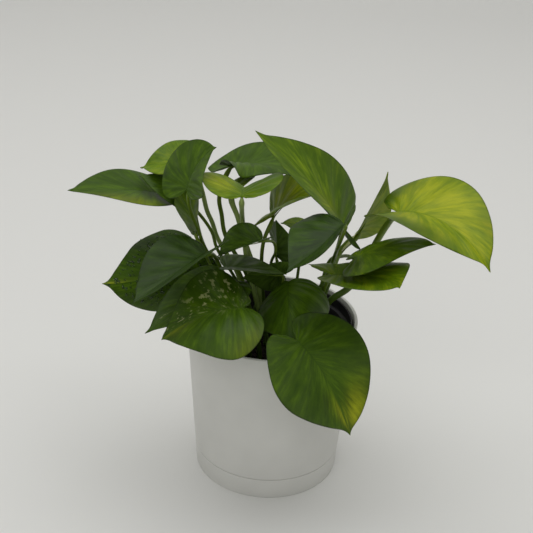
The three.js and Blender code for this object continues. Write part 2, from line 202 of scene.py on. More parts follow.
def add_panel(name, place, size, power):
    """A soft white light panel that faces the middle of the pot."""
    light = bpy.data.lights.new(name, "AREA")
    light.shape = "RECTANGLE"
    light.size, light.size_y = size
    light.energy = power
    panel = bpy.data.objects.new(name, light)
    panel.location = place
    panel.rotation_euler = (LIGHT_TARGET - Vector(place)).to_track_quat("-Z", "Y").to_euler()
    bpy.context.collection.objects.link(panel)


add_panel("panel_above", (0.0, 0.15, 1.9), (2.4, 1.8), 22)
add_panel("panel_front", (-0.5, -1.7, 1.5), (1.4, 1.2), 7)
print("lights", len(bpy.data.lights))

# %% [markdown]
# ## White planter plastic
# The planter and its saucer are injection-moulded polypropylene in white: even, satin,
# with a very faint unevenness from the mould that only shows in the reflections.

# %% Satin white polypropylene
satin_white, tree, shader = start_material("moulded_white_polypropylene")
shader.inputs["IOR"].default_value = 1.49
place = add_node(tree, "ShaderNodeTexCoord").outputs["Object"]
# Flow marks of the mould are some 35 mm long; one noise cell is about 1 / scale metres.
flow = add_node(tree, "ShaderNodeTexNoise", {"Vector": place, "Scale": 28.0, "Detail": 2.0})
body = add_node(tree, "ShaderNodeValToRGB", {"Fac": flow.outputs["Fac"]},
                [(0.3, "#cfcfca"), (0.7, "#d6d6d1")])
tree.links.new(body.outputs["Color"], shader.inputs["Base Color"])
# The skin of the moulding has a fine orange-peel of about 1 mm.
peel = add_node(tree, "ShaderNodeTexNoise", {"Vector": place, "Scale": 900.0, "Detail": 1.0})
bump = add_node(tree, "ShaderNodeBump",
                {"Height": peel.outputs["Fac"], "Strength": 0.05, "Distance": 0.0004})
tree.links.new(bump.outputs["Normal"], shader.inputs["Normal"])
satin = add_node(tree, "ShaderNodeMapRange",
                 {"Value": flow.outputs["Fac"], "To Min": 0.38, "To Max": 0.48})
tree.links.new(satin.outputs["Result"], shader.inputs["Roughness"])
print("made", satin_white.name)

# %% [markdown]
# ## Black nursery plastic
# A nursery pot is drawn from a thin sheet of recycled polypropylene. It is black, a bit
# glossy where it was stretched, and dusty with potting mix near the soil.

# %% Thin black polypropylene
pot_black, tree, shader = start_material("thin_black_polypropylene")
place = add_node(tree, "ShaderNodeTexCoord").outputs["Object"]
# Patches of dust are about 7 mm across.
dust = add_node(tree, "ShaderNodeTexNoise", {"Vector": place, "Scale": 140.0, "Detail": 5.0})
body = add_node(tree, "ShaderNodeValToRGB", {"Fac": dust.outputs["Fac"]},
                [(0.45, "#0a0b0c"), (0.62, "#121110"), (0.8, "#1f1b17")])
tree.links.new(body.outputs["Color"], shader.inputs["Base Color"])
dull = add_node(tree, "ShaderNodeMapRange",
                {"Value": dust.outputs["Fac"], "From Min": 0.3, "From Max": 0.8,
                 "To Min": 0.38, "To Max": 0.75})
tree.links.new(dull.outputs["Result"], shader.inputs["Roughness"])
print("made", pot_black.name)

# %% [markdown]
# ## Potting mix
# Damp peat with bark and a few pale grains. It has no gloss at all, so only its colour
# and its lumps matter.

# %% Damp peat
peat, tree, shader = start_material("damp_peat_mix")
shader.inputs["Roughness"].default_value = 0.95
place = add_node(tree, "ShaderNodeTexCoord").outputs["Object"]
# Fibres and crumbs are 1 to 3 mm across.
crumb = add_node(tree, "ShaderNodeTexNoise", {"Vector": place, "Scale": 420.0, "Detail": 6.0})
body = add_node(tree, "ShaderNodeValToRGB", {"Fac": crumb.outputs["Fac"]},
                [(0.3, "#0b0806"), (0.55, "#1f150d"), (0.75, "#3a2a1a")])
tree.links.new(body.outputs["Color"], shader.inputs["Base Color"])
bump = add_node(tree, "ShaderNodeBump",
                {"Height": crumb.outputs["Fac"], "Strength": 0.9, "Distance": 0.002})
tree.links.new(bump.outputs["Normal"], shader.inputs["Normal"])
print("made", peat.name)

# %% [markdown]
# ## The pots as turned shapes
# Both pots are bodies of revolution. A profile is turned round the axis in many small
# steps, so the rims read as round. The profile is closed, which makes each wall a solid
# with a true thickness, and its corners are rounded as a moulding's are.

# %% Turning a closed profile
TURN_STEPS = 160


def turned_mesh(name, profile, steps=TURN_STEPS):
    """A closed ring mesh from a closed profile of (radius, height) in mm.

    The profile runs up the outside and down the inside. A point on the axis is one
    vertex that closes the shape like a lid."""
    mesh = bpy.data.meshes.new(name)
    build = bmesh.new()
    rings = []
    for radius, height in profile:
        if radius == 0:
            rings.append([build.verts.new((0, 0, height * MM))])
            continue
        ring = []
        for i in range(steps):
            angle = 2 * math.pi * i / steps
            ring.append(build.verts.new(
                (radius * MM * math.cos(angle), radius * MM * math.sin(angle), height * MM)))
        rings.append(ring)
    closed = profile[0][0] != 0
    for low, high in zip(rings, rings[1:] + ([rings[0]] if closed else [])):
        for i in range(steps):
            j = (i + 1) % steps
            if len(low) == 1:
                build.faces.new((low[0], high[j], high[i]))
            elif len(high) == 1:
                build.faces.new((low[i], low[j], high[0]))
            else:
                build.faces.new((low[i], low[j], high[j], high[i]))
    build.to_mesh(mesh)
    build.free()
    return mesh


def rounded(profile, closed, radius, steps=3):
    """The same profile with each corner replaced by a short arc, radius in mm."""
    result = []
    count = len(profile)
    for i, point in enumerate(profile):
        here = Vector(point)
        before = Vector(profile[i - 1]) if closed or i > 0 else None
        after = Vector(profile[(i + 1) % count]) if closed or i < count - 1 else None
        if before is None or after is None or point[0] == 0:
            result.append(point)
            continue
        reach = min(radius, (before - here).length * 0.45, (after - here).length * 0.45)
        start = here + (before - here).normalized() * reach
        end = here + (after - here).normalized() * reach
        for k in range(steps + 1):
            t = k / steps
            mixed = start * (1 - t) ** 2 + here * 2 * t * (1 - t) + end * t ** 2
            result.append((mixed.x, mixed.y))
    return result


def finished_piece(name, mesh, material, nodes, smooth_angle=40):
    """Turns a mesh into a piece of the plant that rides on the root body."""
    mesh.materials.clear()
    mesh.materials.append(material)
    piece = bpy.data.objects.new(name, mesh)
    bpy.context.collection.objects.link(piece)
    mesh.polygons.foreach_set("use_smooth", [True] * len(mesh.polygons))
    mesh.set_sharp_from_angle(angle=math.radians(smooth_angle))
    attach(piece, "root")
    if nodes:
        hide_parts(*nodes)
    return piece


# %% [markdown]
# ## Planter and saucer
# One straight taper runs from the table to the rim. The saucer is the lowest 17 mm of it,
# split off by a joint line 0.2 mm wide that runs all round.

# %% Planter and saucer shapes
PLANTER_HEIGHT = 130.0
TOP_RADIUS = 65.0
FOOT_RADIUS = 55.7
WALL = 2.5
SAUCER_WALL = 2.2
SAUCER_FLOOR = 3
SEAM_LOW = 17.35
SEAM_HIGH = 17.55
FLOOR_LOW = 3.3
FLOOR_HIGH = 6.3
FOOT_INSIDE = 53.2
DRAIN = 7.0


def outside(height):
    """Radius of the planter's outside at a height, mm."""
    return FOOT_RADIUS + (TOP_RADIUS - FOOT_RADIUS) * height / PLANTER_HEIGHT


saucer_profile = [
    (0, 0), (FOOT_RADIUS, 0), (outside(SEAM_LOW), SEAM_LOW),
    (outside(SEAM_LOW) - SAUCER_WALL, SEAM_LOW),
    (outside(SAUCER_FLOOR) - SAUCER_WALL, SAUCER_FLOOR), (0, SAUCER_FLOOR),
]
saucer_mesh = turned_mesh("saucer", rounded(saucer_profile, closed=False, radius=0.45))
saucer = finished_piece("saucer_shell", saucer_mesh, satin_white, ["saucer"])

inside_step = SEAM_HIGH + WALL
planter_profile = [
    (DRAIN, FLOOR_LOW), (FOOT_INSIDE, FLOOR_LOW), (FOOT_INSIDE, SEAM_HIGH),
    (outside(SEAM_HIGH), SEAM_HIGH), (TOP_RADIUS, PLANTER_HEIGHT),
    (TOP_RADIUS - WALL, PLANTER_HEIGHT), (outside(inside_step) - WALL, inside_step),
    (FOOT_INSIDE - WALL, SEAM_HIGH), (FOOT_INSIDE - WALL, FLOOR_HIGH), (DRAIN, FLOOR_HIGH),
]
planter_mesh = turned_mesh("planter", rounded(planter_profile, True, radius=0.9, steps=5))
planter = finished_piece("planter_shell", planter_mesh, satin_white,
                         ["planter"])
print("planter faces", len(planter.data.polygons))

# %% [markdown]
# ## Nursery pot
# A thin cone with a stiff lip: the lip stands out from the wall, drops as a skirt, and
# two fine beads run round it where the sheet was pressed into the mould.

# %% Nursery pot shape
NURSERY_FOOT = 6.6
NURSERY_FOOT_RADIUS = 43
NURSERY_RIM = 127.6
LIP_LOW = 118.6
NURSERY_PLAY = 1.3
LIP_REACH = 3.2
LIP_RADIUS = outside(NURSERY_RIM) - WALL - NURSERY_PLAY
NECK_RADIUS = LIP_RADIUS - LIP_REACH
SHEET = 1.2

nursery_profile = [
    (DRAIN, NURSERY_FOOT), (NURSERY_FOOT_RADIUS, NURSERY_FOOT), (NECK_RADIUS, LIP_LOW),
    (LIP_RADIUS, LIP_LOW), (LIP_RADIUS + 0.2, LIP_LOW + 1.6), (LIP_RADIUS - 0.2, LIP_LOW + 3),
    (LIP_RADIUS - 0.2, NURSERY_RIM - 3), (LIP_RADIUS + 0.2, NURSERY_RIM - 1.5),
    (LIP_RADIUS, NURSERY_RIM), (LIP_RADIUS - SHEET, NURSERY_RIM),
    (LIP_RADIUS - SHEET, LIP_LOW + SHEET), (NECK_RADIUS - SHEET, LIP_LOW + SHEET),
    (NURSERY_FOOT_RADIUS - SHEET, NURSERY_FOOT + SHEET), (DRAIN, NURSERY_FOOT + SHEET),
]
nursery_mesh = turned_mesh("nursery_pot", rounded(nursery_profile, True, radius=0.5, steps=2))
nursery = finished_piece("nursery_shell", nursery_mesh, pot_black,
                         ["nursery_pot"])
print("nursery pot faces", len(nursery.data.polygons))

# %% [markdown]
# ## The leaves: one table
# Each leaf is a heart-shaped blade on its own stalk. All blades share one flat outline;
# what differs is where the stalk meets the blade, how long and wide it is, where it
# points, and how it arches, folds and curls. The same numbers shaped the CAD solids, so
# the fine blades lie where the solids do. Lengths are in mm and angles in degrees.
#
# - base: where the stalk meets the blade
# - size: length, width, and the reach of the back lobes as a share of the usual
# - aim: heading, rise and roll there
# - bend: arch, sweep and twist over one length
# - fold, curl: of the left and of the right half
# - stalk: radius, place in the soil, then the points it bends through

# %% Leaf table
LEAVES = {
    "front_right": dict(
        base=(18, -72, 153), size=(78, 96, 1), aim=(-30, -31, -6),
        bend=(44, -6, 47), fold=(4, -1), curl=(2, 7),
        stalk=(1.8, (14, -36), (14, -40, 123)),
    ),
    "front_left": dict(
        base=(-21, -64, 173), size=(62, 86, 1), aim=(-165, 4, 7),
        bend=(53, -7, -26), fold=(3, -5), curl=(-64, 37),
        stalk=(1.8, (-8, -27), (-10, -31, 129), (-15, -44, 151)),
    ),
    "front_centre": dict(
        base=(11, -7, 164), size=(55, 81, 0.8), aim=(-96, -6, 25),
        bend=(52, 11, -16), fold=(-14, -14), curl=(-85, -32),
        stalk=(1.6, (6, 3), (7, 1, 128), (9, -2, 146)),
    ),
    "left_under": dict(
        base=(-35, -17, 167), size=(74, 53, 0.6), aim=(-131, -6, -10),
        bend=(16, -9, 1), fold=(12, 4), curl=(-4, -10),
        stalk=(1.5, (-16, -10), (-19, -11, 126), (-26, -14, 147)),
    ),
    "left_upper": dict(
        base=(-49, -39, 201), size=(70, 65, 0.6), aim=(-128, -7, 13),
        bend=(5, -3, -5), fold=(21, 17), curl=(14, 9),
        stalk=(1.6, (-24, 7), (-26, 8, 117), (-42, 6, 169)),
    ),
    "left_wet": dict(
        base=(-58, 15, 174), size=(87, 77, 0.5), aim=(-129, -15, -34),
        bend=(-14, -32, -22), fold=(-13, -13), curl=(-66, -23),
        stalk=(1.6, (-24, 20), (-31, 23, 131), (-43, 23, 149)),
    ),
    "far_left": dict(
        base=(-89, 26, 216), size=(71, 53, 1), aim=(-153, 16, 13),
        bend=(9, 6, -8), fold=(-10, 28), curl=(-3, -8),
        stalk=(1.3, (-12, 24), (-26, 34, 134), (-45, 28, 171), (-49, 27, 185), (-60, 27, 201),
               (-66, 24, 207)),
    ),
    "upper_left_dark": dict(
        base=(-66, 18, 217), size=(40, 32, 1), aim=(-159, 44, -28),
        bend=(54, -15, -11), fold=(-4, -2), curl=(-4, -10),
        stalk=(1.3, (-28, 27), (-39, 29, 143), (-55, 30, 172), (-60, 30, 189), (-63, 28, 206)),
    ),
    "upper_left_lime": dict(
        base=(-65, 29, 244), size=(39, 51, 1), aim=(-169, -10, -7),
        bend=(15, -22, -11), fold=(14, 9), curl=(10, -7),
        stalk=(1.8, (-20, 27), (-27, 29, 145), (-45, 32, 178), (-49, 31, 191), (-53, 30, 201),
               (-57, 29, 218)),
    ),
    "upper_left_tall": dict(
        base=(-64, -24, 242), size=(39, 66, 1), aim=(64, 67, -44),
        bend=(31, -45, -8), fold=(23, -2), curl=(-8, -4),
        stalk=(1.3, (-21, 6), (-12, 27, 143), (-54, 8, 179), (-55, 1, 191), (-57, -6, 203),
               (-61, -10, 216), (-63, -17, 229)),
    ),
    "upper_left_narrow": dict(
        base=(-59, -3, 200), size=(38, 51, 0.6), aim=(121, 53, 45),
        bend=(-7, -11, -38), fold=(3, -6), curl=(15, -45),
        stalk=(1.2, (-31, 2), (-36, 3, 142), (-48, 2, 170)),
    ),
    "top_boat": dict(
        base=(-25, -37, 245), size=(34, 62, 1.2), aim=(88, 12, -4),
        bend=(60, -1, 5), fold=(27, 28), curl=(-6, -8),
        stalk=(1.8, (-4, 7), (-13, 8, 139), (-21, 10, 170), (-23, 6, 186), (-25, -2, 209)),
    ),
    "top_small_lime": dict(
        base=(-33, 7, 230), size=(28, 29, 0.8), aim=(61, 17, -26),
        bend=(20, -2, 9), fold=(6, 10), curl=(-29, -7),
        stalk=(2.0, (-10, 12), (-12, 13, 149), (-25, 12, 191), (-29, 11, 206), (-34, 9, 221)),
    ),
    "top_centre": dict(
        base=(-36, 32, 238), size=(52, 73, 1.6), aim=(10, 8, -55),
        bend=(50, -44, 38), fold=(17, -13), curl=(64, -44),
        stalk=(1.7, (-8, 28), (-21, 28, 148), (-39, 30, 182), (-42, 31, 198), (-44, 30, 213)),
    ),
    "top_large": dict(
        base=(49, -6, 210), size=(96, 81, 0.3), aim=(-169, 58, -10),
        bend=(24, -10, -13), fold=(-2, 15), curl=(37, 10),
        stalk=(1.6, (25, -1), (33, 4, 145), (43, 5, 172), (45, 3, 185), (47, -3, 200)),
    ),
    "centre_back": dict(
        base=(-4, 23, 202), size=(47, 64, 0.3), aim=(-19, 59, 0),
        bend=(47, -10, 5), fold=(24, 18), curl=(6, -17),
        stalk=(1.5, (-3, 20), (-9, 19, 145), (-10, 16, 178), (-8, 15, 190), (-5, 17, 197)),
    ),
    "centre_right": dict(
        base=(45, -59, 238), size=(53, 67, 0.4), aim=(-132, -24, 16),
        bend=(-6, -9, -28), fold=(29, 23), curl=(27, -36),
        stalk=(1.4, (22, -7), (29, -1, 142), (41, 1, 171), (43, -2, 182), (45, -24, 205)),
    ),
    "centre_small": dict(
        base=(-10, -24, 206), size=(35, 44, 0.6), aim=(-151, -3, 38),
        bend=(11, -2, -4), fold=(-10, 56), curl=(8, -11),
        stalk=(1.2, (5, 21), (0, 22, 135), (-3, 17, 165), (0, 6, 181), (-2, -9, 197)),
    ),
    "centre_olive": dict(
        base=(2, 24, 168), size=(32, 45, 0.6), aim=(-173, 86, 19),
        bend=(6, 7, 20), fold=(20, 17), curl=(-6, -6),
        stalk=(1.3, (9, 24), (8, 24, 135), (5, 24, 152)),
    ),
    "centre_lime": dict(
        base=(22, 27, 192), size=(19, 21, 1), aim=(-180, 17, -6),
        bend=(14, 3, -2), fold=(10, 11), curl=(-7, -8),
        stalk=(1.2, (16, 22), (17, 23, 139), (19, 25, 166)),
    ),
    "centre_flat": dict(
        base=(-36, -26, 184), size=(44, 50, 0.5), aim=(2, -1, 0),
        bend=(10, 0, 0), fold=(-3, 18), curl=(-5, 10),
        stalk=(1.5, (-15, 4), (-19, 6, 138), (-27, 2, 166)),
    ),
    "centre_shaded": dict(
        base=(6, 9, 161), size=(32, 37, 1), aim=(-164, 10, 54),
        bend=(16, -10, -1), fold=(7, -7), curl=(-8, -22),
        stalk=(1.2, (5, 12), (5, 11, 132)),
    ),
    "right_upright": dict(
        base=(59, 14, 195), size=(54, 51, 1), aim=(-21, 58, -8),
        bend=(-27, 14, -2), fold=(-5, -6), curl=(-38, -8),
        stalk=(2.4, (28, 10), (34, 14, 128), (38, 17, 138), (41, 19, 148), (44, 20, 161),
               (48, 19, 176), (54, 17, 186)),
    ),
    "right_yellow": dict(
        base=(85, -13, 228), size=(86, 82, 1), aim=(-29, 18, -7),
        bend=(57, -25, 15), fold=(27, 4), curl=(-6, 12),
        stalk=(2.6, (36, 6), (37, 7, 123), (43, 7, 141), (57, 8, 153), (68, 11, 173),
               (75, 11, 192), (83, 0, 216)),
    ),
    "right_level": dict(
        base=(57, -28, 197), size=(58, 60, 1), aim=(-5, 34, -3),
        bend=(29, -10, 2), fold=(-2, -5), curl=(-23, 5),
        stalk=(1.5, (31, 13), (42, 37, 159), (51, 24, 171), (57, -4, 185)),
    ),
    "right_low": dict(
        base=(42, -34, 186), size=(69, 70, 1.3), aim=(-5, 5, 17),
        bend=(-53, -64, 17), fold=(0, 25), curl=(-73, 22),
        stalk=(1.5, (30, -4), (33, 0, 132), (38, -1, 156)),
    ),
}

# %% [markdown]
# Each leaf also has a look: the tone of its skin, how far its margin waves in mm, and
# spots of yellow, cream or green. A spot
# is given on the flat blade as how far along it is, how far to the left (plus) or right
# (minus) of the midrib, how large, and how strong.

# %% Leaf looks
LOOKS = {
    "front_right": dict(tone="mid", wave=1.0,
                        yellow=[(0.74, 0.85, 0.14, 0.75), (0.86, -0.5, 0.14, 0.6),
                                (0.9, 0.5, 0.12, 0.5)]),
    "front_left": dict(tone="mid", wave=1.3,
                       cream=[(0.3, -0.75, 0.25, 0.7), (0.55, -0.45, 0.25, 0.6),
                              (0.75, -0.6, 0.2, 0.7), (0.3, -0.3, 0.2, 0.3)],
                       yellow=[(0.95, 0.5, 0.2, 0.5), (0.3, 0.9, 0.15, 0.2)]),
    "front_centre": dict(tone="mid", wave=0.8),
    "left_under": dict(tone="mid", wave=0.6, cream=[(0.75, -0.7, 0.05, 0.9)]),
    "left_upper": dict(tone="deep", wave=0.5),
    "left_wet": dict(tone="mid", wave=0.8, yellow=[(1.0, -0.6, 0.16, 1.0), (1.0, -0.2, 0.12, 0.8)]),
    "far_left": dict(tone="mid", wave=0.8, yellow=[(0.5, 0.9, 0.2, 0.3)]),
    "upper_left_dark": dict(tone="mid", wave=0.5),
    "upper_left_lime": dict(tone="bright", wave=1.4, green=[(0.2, 0.5, 0.4, 0.6),
                                                            (0.6, -0.7, 0.3, 0.4)]),
    "upper_left_tall": dict(tone="mid", wave=0.5),
    "upper_left_narrow": dict(tone="fresh", wave=0.5),
    "top_boat": dict(tone="bright", wave=1.2,
                     yellow=[(0.4, 0.6, 0.22, 0.6)], green=[(0.5, -0.6, 0.5, 0.7)]),
    "top_small_lime": dict(tone="bright", wave=0.4),
    "top_centre": dict(tone="mid", wave=0.6),
    "top_large": dict(tone="fresh", wave=0.6, yellow=[(0.55, 0.1, 0.16, 0.3)],
                      green=[(0.3, -0.8, 0.3, 0.5), (0.8, 0.6, 0.2, 0.4)]),
    "centre_back": dict(tone="bright", wave=0.4,
                        yellow=[(0.6, 0.3, 0.3, 0.5)]),
    "centre_right": dict(tone="deep", wave=0.5),
    "centre_small": dict(tone="mid", wave=0.4),
    "centre_olive": dict(tone="fresh", wave=0.4),
    "centre_lime": dict(tone="bright", wave=0.3),
    "centre_flat": dict(tone="mid", wave=0.4),
    "centre_shaded": dict(tone="deep", wave=0.4),
    "right_upright": dict(tone="lime", wave=0.4),
    "right_yellow": dict(tone="lime", wave=1.2,
                         yellow=[(0.5, 0.5, 0.22, 0.7), (0.7, 0.3, 0.2, 0.5)],
                         green=[(0.1, 0.8, 0.24, 1.0), (0.22, 0.9, 0.12, 0.8),
                                (0.1, -0.6, 0.35, 1.0), (0.45, -0.9, 0.25, 0.8),
                                (0.95, 0.9, 0.15, 0.4), (0.62, 0.95, 0.1, 0.4)]),
    "right_level": dict(tone="fresh", wave=0.8),
    # This green leaf sits in shadow; its bright tone is a lighter skin that stands in for light,
    # painted light.
    "right_low": dict(tone="bright", wave=0.9),
}
# These are lime all through, so their backs are lime too.
LIME_LEAVES = ("upper_left_lime", "top_boat", "top_small_lime", "centre_back",
               "centre_lime", "right_upright", "right_yellow")
print("leaves", len(LEAVES))

# %% [markdown]
# ## Leaf skin
# A pothos leaf is waxy and glossy on top. Its colour runs in streaks along the side
# veins, the midrib is a fine darker groove, and the margin is a thin dark line. The
# pattern has to follow the veins, so it reads numbers that the mesh carries at each
# point: `rib`, which side vein it lies on, `across`, how far out it is, and `seed`, which
# is different for each leaf. `yellow`, `cream` and `green` say how strongly each kind of
# spot colours it.

# %% Waxy leaf skin in five tones
# The deep, middle and bright colour of each skin.
TONES = {
    "deep": ("#172903", "#263d05", "#3a5509"),
    "mid": ("#273f03", "#3b5605", "#54720a"),
    "fresh": ("#374f04", "#506c06", "#7c9412"),
    # The bright tone is the lime skin made darker as painted shade, for lime leaves that sit in
    # shade.
    "bright": ("#375204", "#5e7a07", "#8c9b14"),
    "lime": ("#4a6a06", "#7c8f0a", "#aaae18"),
}


def leaf_numbers(tree):
    """The numbers a blade carries, as node outputs."""
    read = {}
    for name in ("rib", "across", "seed", "yellow", "cream", "green"):
        node = add_node(tree, "ShaderNodeAttribute", attribute_name=name)
        read[name] = node.outputs["Fac"]
    return read


def streaks(tree, numbers, along, out, detail):
    """Noise drawn out along the side veins: many cells along, few across."""
    spread = add_node(tree, "ShaderNodeMath", {0: numbers["across"]}, operation="ABSOLUTE")
    side = add_node(tree, "ShaderNodeMath", {0: numbers["across"]}, operation="SIGN")
    # The two halves of a leaf and the different leaves each get their own streaks.
    offset = add_node(tree, "ShaderNodeMath", {
        0: side.outputs[0], 1: 3.7, 2: numbers["seed"]}, operation="MULTIPLY_ADD")
    cell_along = add_node(tree, "ShaderNodeMath", {
        0: numbers["rib"], 1: along}, operation="MULTIPLY")
    cell_out = add_node(tree, "ShaderNodeMath", {
        0: spread.outputs[0], 1: out}, operation="MULTIPLY")
    vector = add_node(tree, "ShaderNodeCombineXYZ", {
        "X": cell_along.outputs[0], "Y": cell_out.outputs[0], "Z": offset.outputs[0]})
    noise = add_node(tree, "ShaderNodeTexNoise", {
        "Vector": vector.outputs["Vector"], "Scale": 1.0, "Detail": detail,
        "Roughness": 0.6})
    return noise.outputs["Fac"]


def spot_shares(tree, numbers, fine):
    """How much of the green, yellow and cream shows, broken up by the streaks."""
    green = add_node(tree, "ShaderNodeMath", {0: fine, 1: 1.2, 2: 0.25},
                     operation="MULTIPLY_ADD")
    yellow = add_node(tree, "ShaderNodeMath", {0: fine, 1: 1.6, 2: -0.1},
                      operation="MULTIPLY_ADD")
    # Cream flecks are a few mm long, with sharp edges.
    cut = add_node(tree, "ShaderNodeMath", {
        0: streaks(tree, numbers, 26.0, 6.0, 5.0), 1: 0.56}, operation="SUBTRACT")
    sharp = add_node(tree, "ShaderNodeMath", {0: cut.outputs[0], 1: 16.0},
                     operation="MULTIPLY")
    cream = add_node(tree, "ShaderNodeClamp", {"Value": sharp.outputs[0]})
    return [add_node(tree, "ShaderNodeMath", {0: numbers[name], 1: part.outputs[0]},
                     operation="MULTIPLY")
            for name, part in (("green", green), ("yellow", yellow), ("cream", cream))]


def leaf_skin(tone):
    deep, middle, bright = TONES[tone]
    material, tree, shader = start_material("waxy_leaf_" + tone)
    numbers = leaf_numbers(tree)
    fine = streaks(tree, numbers, 48.0, 2.6, 7.0)
    broad = streaks(tree, numbers, 9.0, 1.6, 3.0)
    fine_part = add_node(tree, "ShaderNodeMath", {0: fine, 1: 0.55}, operation="MULTIPLY")
    mix = add_node(tree, "ShaderNodeMath", {
        0: broad, 1: 0.45, 2: fine_part.outputs[0]}, operation="MULTIPLY_ADD")
    skin = add_node(tree, "ShaderNodeValToRGB", {"Fac": mix.outputs[0]},
                    [(0.3, deep), (0.5, middle), (0.68, bright)]).outputs["Color"]
    # Green areas never lost their colour, mostly near the stalk. Yellow ones are
    # variegated or ageing. The midrib is a darker line under 1 mm wide, the margin a
    # thin dark edge.
    green, yellow, cream = spot_shares(tree, numbers, fine)
    spread = add_node(tree, "ShaderNodeMath", {0: numbers["across"]},
                      operation="ABSOLUTE").outputs[0]
    line = add_node(tree, "ShaderNodeMapRange", {
        "Value": spread, "From Min": 0.0, "From Max": 0.03, "To Min": 0.55, "To Max": 0.0})
    edge = add_node(tree, "ShaderNodeMapRange", {
        "Value": spread, "From Min": 0.97, "From Max": 1.0, "To Min": 0.0, "To Max": 0.55})
    layers = [(green, "#2c4a06"), (yellow, "#b0b31c"), (cream, "#c3c58a"), (line, deep),
              (edge, "#152203")]
    for share, hex_value in layers:
        skin = add_node(tree, "ShaderNodeMix", {
            "Factor": share.outputs[0], 6: skin, 7: colour(hex_value)},
            data_type="RGBA").outputs[2]
    tree.links.new(skin, shader.inputs["Base Color"])
    gloss = add_node(tree, "ShaderNodeMapRange", {
        "Value": fine, "To Min": 0.34, "To Max": 0.56})
    tree.links.new(gloss.outputs["Result"], shader.inputs["Roughness"])
    shader.inputs["Specular IOR Level"].default_value = 0.2
    # Cells between the finest veins are 1 to 2 mm, a barely visible pebbling.
    place = add_node(tree, "ShaderNodeTexCoord").outputs["Object"]
    cells = add_node(tree, "ShaderNodeTexNoise", {
        "Vector": place, "Scale": 620.0, "Detail": 2.0})
    pebbles = add_node(tree, "ShaderNodeMath", {0: cells.outputs["Fac"], 1: 0.3},
                       operation="MULTIPLY")
    height = add_node(tree, "ShaderNodeMath", {
        0: fine, 1: 0.7, 2: pebbles.outputs[0]}, operation="MULTIPLY_ADD")
    bump = add_node(tree, "ShaderNodeBump", {
        "Height": height.outputs[0], "Strength": 0.35, "Distance": 0.0006})
    tree.links.new(bump.outputs["Normal"], shader.inputs["Normal"])
    return material


leaf_skins = {tone: leaf_skin(tone) for tone in TONES}
print("leaf skins", len(leaf_skins))

# %% [markdown]
# The underside is paler and duller, because it has no wax and holds more air.

# %% Leaf underside
def underside(name, deep, bright):
    material, tree, shader = start_material(name)
    numbers = leaf_numbers(tree)
    mix = streaks(tree, numbers, 22.0, 2.0, 4.0)
    skin = add_node(tree, "ShaderNodeValToRGB", {"Fac": mix}, [(0.35, deep), (0.65, bright)])
    tree.links.new(skin.outputs["Color"], shader.inputs["Base Color"])
    shader.inputs["Roughness"].default_value = 0.62
    shader.inputs["Specular IOR Level"].default_value = 0.2
    bump = add_node(tree, "ShaderNodeBump", {
        "Height": mix, "Strength": 0.3, "Distance": 0.0006})
    tree.links.new(bump.outputs["Normal"], shader.inputs["Normal"])
    return material


leaf_backs = {
    "green": underside("leaf_back_green", "#354d0e", "#4e6a1c"),
    "lime": underside("leaf_back_lime", "#66801c", "#8c9c30"),
}
print("leaf backs", len(leaf_backs))

# %% [markdown]
# ## Shaping a blade
# The midrib is walked in short steps from the back lobes to the tip. At every step it
# turns a little for the arch, the sweep and the twist, and carries its own left and up
# directions along. A cross-section then bends away from the midrib: a fold at the rib
# and a steady curl towards the margin. This is quicker and more exact than bending a
# flat mesh with modifiers, and the same walk shaped the CAD solid.

# %% Midrib walk and cross-section
MARGIN = [
    (-0.10, 0.06), (-0.17, 0.20), (-0.13, 0.37), (0.02, 0.475), (0.22, 0.50),
    (0.45, 0.43), (0.68, 0.28), (0.85, 0.14), (0.94, 0.05), (0.985, 0.018), (1.03, 0.0),
]
TIP = MARGIN[-1][0]
RIB_LEAN = 2.6
LOBE_REACH = 0.2
WALK_STEP = 0.02


def turned(vector, axis, angle):
    """A vector turned about a unit axis."""
    return (vector * math.cos(angle) + np.cross(axis, vector) * math.sin(angle)
            + axis * np.dot(axis, vector) * (1 - math.cos(angle)))


def walk_midrib(leaf):
    """Stations along the midrib: share of the length, place, along, left and up."""
    length = leaf["size"][0]
    heading, rise, roll = map(math.radians, leaf["aim"])
    arch, sweep, twist = map(math.radians, leaf["bend"])
    along = np.array((math.cos(rise) * math.cos(heading),
                      math.cos(rise) * math.sin(heading), math.sin(rise)))
    left = np.array((-math.sin(heading), math.cos(heading), 0.0))
    up = np.cross(along, left)
    left, up = turned(left, along, roll), turned(up, along, roll)
    start = (0.0, np.array(leaf["base"], float), along, left, up)

    def walk(step, count):
        share, place, along, left, up = start
        found = []
        for _ in range(count):
            for half in (0, 1):
                along, up = (turned(v, left, arch * step / 2) for v in (along, up))
                along, left = (turned(v, up, sweep * step / 2) for v in (along, left))
                if half == 0:
                    place = place + along * step * length
            left, up = (turned(v, along, twist * step) for v in (left, up))
            share += step
            found.append((share, place, along, left, up))
        return found

    back = walk(-WALK_STEP, round(LOBE_REACH / WALK_STEP))[::-1]
    ahead = walk(WALK_STEP, round(TIP / WALK_STEP) + 1)
    stations = back + [start] + ahead
    return [np.array([s[i] for s in stations]) for i in range(5)]


def blade_points(leaf, stations, share, across):
    """Places and upward normals on a blade, mm. across is in widths, left positive."""
    shares, places, _, lefts, ups = stations
    width = leaf["size"][1]

    def at(values):
        return np.stack([np.interp(share, shares, values[:, k]) for k in range(3)], -1)

    side = np.where(across < 0, -1.0, 1.0)[:, None]
    outward, up = at(lefts) * side, at(ups)
    fold = np.radians(np.where(across < 0, leaf["fold"][1], leaf["fold"][0]))
    curl = np.radians(np.where(across < 0, leaf["curl"][1], leaf["curl"][0])) / (width / 2)
    distance = np.abs(across) * width
    angle = fold + curl * distance
    reach = (np.sin(angle) - np.sin(fold)) / curl
    lift = (np.cos(fold) - np.cos(angle)) / curl
    place = at(places) + outward * reach[:, None] + up * lift[:, None]
    normal = up * np.cos(angle)[:, None] - outward * np.sin(angle)[:, None]
    return place, normal


